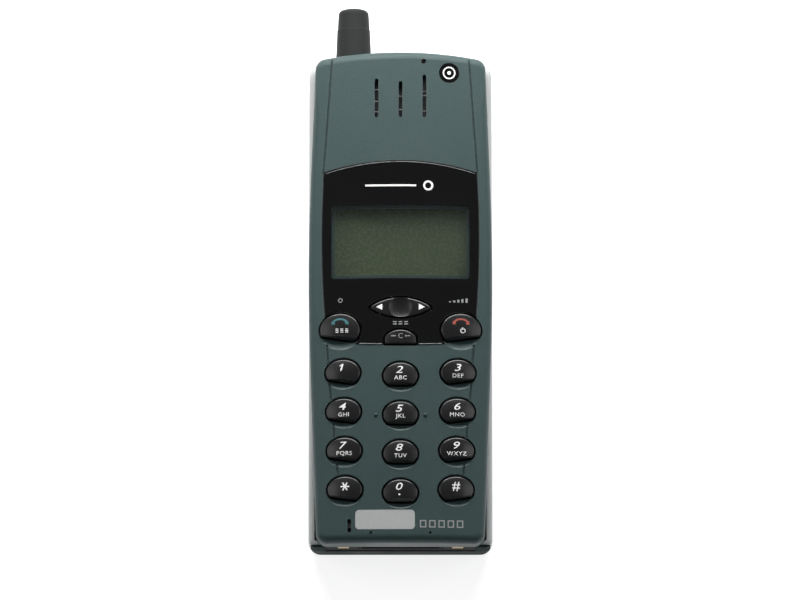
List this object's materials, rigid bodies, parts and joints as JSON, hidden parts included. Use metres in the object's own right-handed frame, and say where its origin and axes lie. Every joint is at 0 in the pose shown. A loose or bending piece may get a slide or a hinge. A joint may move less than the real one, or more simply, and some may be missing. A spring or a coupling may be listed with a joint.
{
  "type": "mobile phone",
  "caption": "Early mobile brick phone with a stub antenna, a small display under a black window, number keys and a slide-off battery.",
  "frame": {"origin": "centre of the footprint, on the surface that the phone's back rests on", "axes": "+Z out of the keypad, +Y towards the antenna, +X to the right of the keypad"},
  "size_m": [0.049, 0.1468, 0.0261],
  "materials": {
    "cover_paint": "fine-textured green-grey paint",
    "window_black": "polished black",
    "window_clear": "clear, scratch coated",
    "status_lens": "translucent olive",
    "silver_paint": "silver paint over plastic",
    "key_black": "satin black with white legends",
    "black_rubber": "matt",
    "mat_rubber": "matt, light grey",
    "battery_plastic": "dark green moulded plastic",
    "black_plastic": "fine-grained moulded plastic",
    "gold_contact": "gold plated",
    "bright_steel": "bright",
    "cell_case": "wrapped cell cans",
    "earpiece_case": "black, with a perforated cap",
    "board_laminate": "green laminate",
    "display_glass": "grey-green liquid crystal panel",
    "light_guide_acrylic": "frosted",
    "grille_cloth": "fine black mesh",
    "label_film": "blank light film"
  },
  "bodies": {
    "phone": {"antenna_coil": "bright_steel", "antenna_core": "gold_contact", "antenna_insert": "gold_contact", "antenna_sleeve": "black_rubber", "backup_cell": "bright_steel", "badge": "window_black", "battery_contacts": "gold_contact", "blank_label": "label_film", "buzzer": "black_plastic", "charging_contacts": "gold_contact", "connector_panel": "black_plastic", "connector_pins": "gold_contact", "contact_block": "black_plastic", "contact_strips": "black_rubber", "display_frame": "black_plastic", "display_lens": "window_clear", "display_panel": "display_glass", "dome_sheet": "bright_steel", "earpiece": "earpiece_case", "earpiece_gasket": "black_rubber", "front_cover": "cover_paint", "grille_cloth": "grille_cloth", "housing_screws": "bright_steel", "keypad_mat": "mat_rubber", "latch_spring": "bright_steel", "led_lens": "status_lens", "light_guide": "light_guide_acrylic", "main_board": "board_laminate", "microphone": "bright_steel", "microphone_boot": "black_rubber", "rear_housing": "silver_paint", "shield_cans": "bright_steel", "system_connector": "black_plastic", "window_bezel": "window_black"},
    "battery": {"battery_shell": "battery_plastic", "battery_lid": "black_plastic", "battery_terminals": "gold_contact", "battery_cells": "cell_case", "battery_board": "board_laminate", "battery_strike": "bright_steel"},
    "latch": {"battery_latch": "black_plastic"},
    "rocker": {"rocker_key": "key_black"},
    "key_0_body": {"key_0": "key_black"},
    "key_1_body": {"key_1": "key_black"},
    "key_2_body": {"key_2": "key_black"},
    "key_3_body": {"key_3": "key_black"},
    "key_4_body": {"key_4": "key_black"},
    "key_5_body": {"key_5": "key_black"},
    "key_6_body": {"key_6": "key_black"},
    "key_7_body": {"key_7": "key_black"},
    "key_8_body": {"key_8": "key_black"},
    "key_9_body": {"key_9": "key_black"},
    "key_call_body": {"key_call": "key_black"},
    "key_end_body": {"key_end": "key_black"},
    "key_hash_body": {"key_hash": "key_black"},
    "key_star_body": {"key_star": "key_black"},
    "clear_key_body": {"clear_key": "key_black"}
  },
  "joints": [
    {"name": "key_0_press", "type": "slide", "parent": "phone", "child": "key_0_body", "axis": [0, 0, -1], "range_m": [0, 0.0006], "stiffness_N_per_m": 2500},
    {"name": "key_1_press", "type": "slide", "parent": "phone", "child": "key_1_body", "axis": [0, 0, -1], "range_m": [0, 0.0006], "stiffness_N_per_m": 2500},
    {"name": "key_2_press", "type": "slide", "parent": "phone", "child": "key_2_body", "axis": [0, 0, -1], "range_m": [0, 0.0006], "stiffness_N_per_m": 2500},
    {"name": "key_3_press", "type": "slide", "parent": "phone", "child": "key_3_body", "axis": [0, 0, -1], "range_m": [0, 0.0006], "stiffness_N_per_m": 2500},
    {"name": "key_4_press", "type": "slide", "parent": "phone", "child": "key_4_body", "axis": [0, 0, -1], "range_m": [0, 0.0006], "stiffness_N_per_m": 2500},
    {"name": "key_5_press", "type": "slide", "parent": "phone", "child": "key_5_body", "axis": [0, 0, -1], "range_m": [0, 0.0006], "stiffness_N_per_m": 2500},
    {"name": "key_6_press", "type": "slide", "parent": "phone", "child": "key_6_body", "axis": [0, 0, -1], "range_m": [0, 0.0006], "stiffness_N_per_m": 2500},
    {"name": "key_7_press", "type": "slide", "parent": "phone", "child": "key_7_body", "axis": [0, 0, -1], "range_m": [0, 0.0006], "stiffness_N_per_m": 2500},
    {"name": "key_8_press", "type": "slide", "parent": "phone", "child": "key_8_body", "axis": [0, 0, -1], "range_m": [0, 0.0006], "stiffness_N_per_m": 2500},
    {"name": "key_9_press", "type": "slide", "parent": "phone", "child": "key_9_body", "axis": [0, 0, -1], "range_m": [0, 0.0006], "stiffness_N_per_m": 2500},
    {"name": "key_call_press", "type": "slide", "parent": "phone", "child": "key_call_body", "axis": [0, 0, -1], "range_m": [0, 0.0006], "stiffness_N_per_m": 2500},
    {"name": "key_end_press", "type": "slide", "parent": "phone", "child": "key_end_body", "axis": [0, 0, -1], "range_m": [0, 0.0006], "stiffness_N_per_m": 2500},
    {"name": "key_hash_press", "type": "slide", "parent": "phone", "child": "key_hash_body", "axis": [0, 0, -1], "range_m": [0, 0.0006], "stiffness_N_per_m": 2500},
    {"name": "key_star_press", "type": "slide", "parent": "phone", "child": "key_star_body", "axis": [0, 0, -1], "range_m": [0, 0.0006], "stiffness_N_per_m": 2500},
    {"name": "clear_key_press", "type": "slide", "parent": "phone", "child": "clear_key_body", "axis": [0, 0, -1], "range_m": [0, 0.0006], "stiffness_N_per_m": 2500},
    {"name": "rocker_tilt", "type": "hinge", "parent": "phone", "child": "rocker", "pos_m": [0, -0.01025, 0.01986], "axis": [0, 1, 0], "range_deg": [-4, 4], "stiffness_Nm_per_rad": 0.2},
    {"name": "battery_slide", "type": "slide", "parent": "phone", "child": "battery", "axis": [0, -1, 0], "range_m": [0, 0.009]},
    {"name": "latch_slide", "type": "slide", "parent": "phone", "child": "latch", "axis": [0, 1, 0], "range_m": [0, 0.002], "stiffness_N_per_m": 400}
  ]
}
